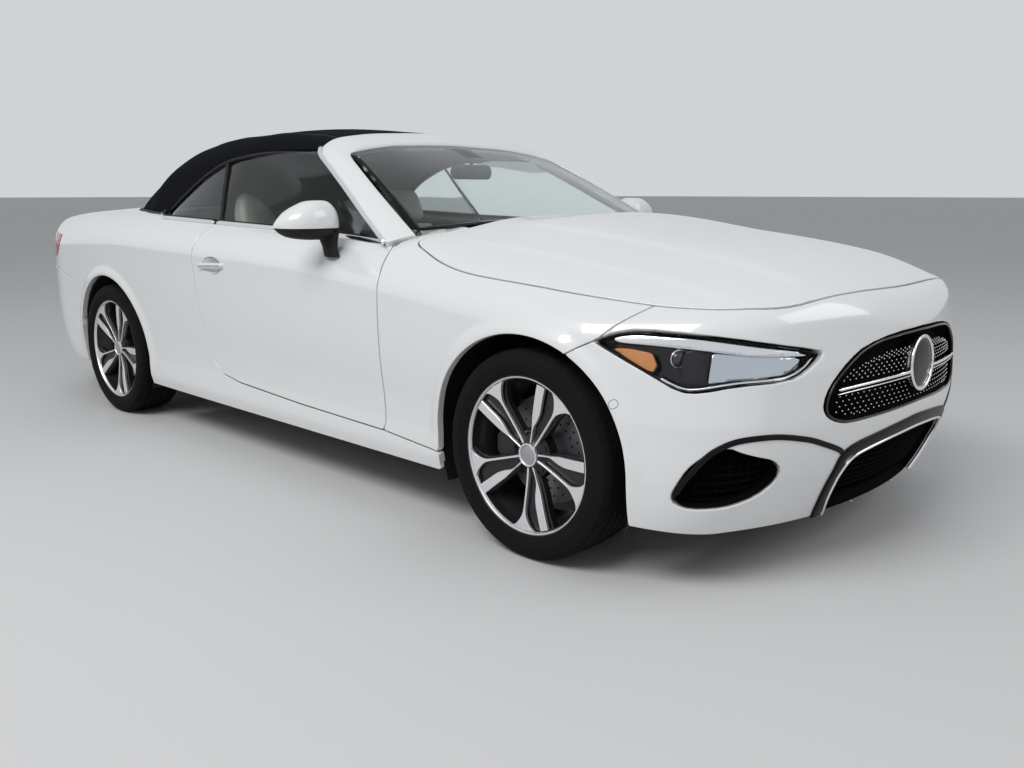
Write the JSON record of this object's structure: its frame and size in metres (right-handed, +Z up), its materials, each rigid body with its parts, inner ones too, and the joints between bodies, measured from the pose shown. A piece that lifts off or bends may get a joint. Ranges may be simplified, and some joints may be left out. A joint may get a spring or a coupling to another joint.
{
  "type": "roadster convertible",
  "caption": "Two-door open car with its fabric roof raised: hinged doors, bonnet and boot lid, steered front wheels, and a hollow cabin with seats.",
  "frame": {"origin": "On the ground, under the middle of the car's length, on its centre plane", "axes": "+X forward, +Y to the car's left, +Z up"},
  "size_m": [4.85, 2.16, 1.4153],
  "materials": {
    "body_paint": "glossy polar white coat",
    "cover_fabric": "dark blue woven roof fabric",
    "tyre_rubber": "matt black rubber",
    "wheel_alloy": "bright machined faces on a black wheel",
    "clear_glass": "clear with a light green tint",
    "lamp_clear": "clear lens over a dark housing",
    "lamp_red": "deep red lens",
    "black_trim": "grained black",
    "grille_black": "gloss black with bright dots and a chrome bar",
    "seat_leather": "light grey beige leather",
    "dash_plastic": "soft dark grey",
    "steel": "plain brushed steel",
    "iron": "dark cast metal",
    "inner_metal": "satin dark grey coat"
  },
  "bodies": {
    "body": {"floor_pan": "body_paint", "bulkhead": "inner_metal", "front_bumper": "body_paint", "front_wings": "body_paint", "grille": "grille_black", "lower_grille": "black_trim", "headlamps": "lamp_clear", "windscreen": "clear_glass", "windscreen_frame": "body_paint", "rear_quarters": "body_paint", "rear_deck": "body_paint", "rear_bumper": "body_paint", "tail_lamps": "lamp_red", "soft_top": "cover_fabric", "rear_window": "clear_glass", "rear_side_glass": "clear_glass", "front_seats": "seat_leather", "rear_seat": "seat_leather", "dashboard": "dash_plastic", "engine": "iron", "exhaust": "steel", "front_subframe": "inner_metal", "rear_suspension": "iron", "boot_tub": "inner_metal"},
    "bonnet": {"bonnet": "body_paint"},
    "boot_lid": {"boot_lid": "body_paint"},
    "left_door": {"door_left": "body_paint", "door_glass_left": "clear_glass", "mirror_left": "body_paint"},
    "right_door": {"door_right": "body_paint", "door_glass_right": "clear_glass", "mirror_right": "body_paint"},
    "left_knuckle": {"knuckle_left": "iron"},
    "right_knuckle": {"knuckle_right": "iron"},
    "steering": {"steering_wheel": "dash_plastic"},
    "front_left_wheel": {"rim_front_left": "wheel_alloy", "tyre_front_left": "tyre_rubber"},
    "front_right_wheel": {"rim_front_right": "wheel_alloy", "tyre_front_right": "tyre_rubber"},
    "rear_left_wheel": {"rim_rear_left": "wheel_alloy", "tyre_rear_left": "tyre_rubber"},
    "rear_right_wheel": {"rim_rear_right": "wheel_alloy", "tyre_rear_right": "tyre_rubber"}
  },
  "joints": [
    {"name": "bonnet_hinge", "type": "hinge", "parent": "body", "child": "bonnet", "pos_m": [1.02, 0, 0.965], "axis": [0, -1, 0], "range_deg": [0, 50]},
    {"name": "boot_hinge", "type": "hinge", "parent": "body", "child": "boot_lid", "pos_m": [-1.661, 0, 1.042], "axis": [0, 1, 0], "range_deg": [0, 75]},
    {"name": "left_door_hinge", "type": "hinge", "parent": "body", "child": "left_door", "pos_m": [0.94, 0.923, 0.6], "axis": [0, 0, -1], "range_deg": [0, 62]},
    {"name": "right_door_hinge", "type": "hinge", "parent": "body", "child": "right_door", "pos_m": [0.94, -0.923, 0.6], "axis": [0, 0, 1], "range_deg": [0, 62]},
    {"name": "steer_right", "type": "hinge", "parent": "body", "child": "right_knuckle", "pos_m": [1.583, -0.72, 0.327], "axis": [0, 0, 1], "range_deg": [-35, 35]},
    {"name": "steer_left", "type": "hinge", "parent": "body", "child": "left_knuckle", "pos_m": [1.583, 0.72, 0.327], "axis": [0, 0, 1], "range_deg": [-35, 35]},
    {"name": "steering_wheel_turn", "type": "hinge", "parent": "body", "child": "steering", "pos_m": [0.405, 0.37, 0.79], "axis": [-0.9063, 0, 0.4226], "range_deg": [-490, 490]},
    {"name": "front_left_spin", "type": "hinge", "parent": "left_knuckle", "child": "front_left_wheel", "pos_m": [1.583, 0.806, 0.327], "axis": [0, 1, 0], "continuous": true},
    {"name": "front_right_spin", "type": "hinge", "parent": "right_knuckle", "child": "front_right_wheel", "pos_m": [1.583, -0.806, 0.327], "axis": [0, 1, 0], "continuous": true},
    {"name": "rear_left_spin", "type": "hinge", "parent": "body", "child": "rear_left_wheel", "pos_m": [-1.282, 0.806, 0.327], "axis": [0, 1, 0], "continuous": true},
    {"name": "rear_right_spin", "type": "hinge", "parent": "body", "child": "rear_right_wheel", "pos_m": [-1.282, -0.806, 0.327], "axis": [0, 1, 0], "continuous": true}
  ],
  "couplings": [
    {"joint": "steer_left", "follows": "steer_right", "ratio": 1},
    {"joint": "steering_wheel_turn", "follows": "steer_right", "ratio": 14}
  ]
}
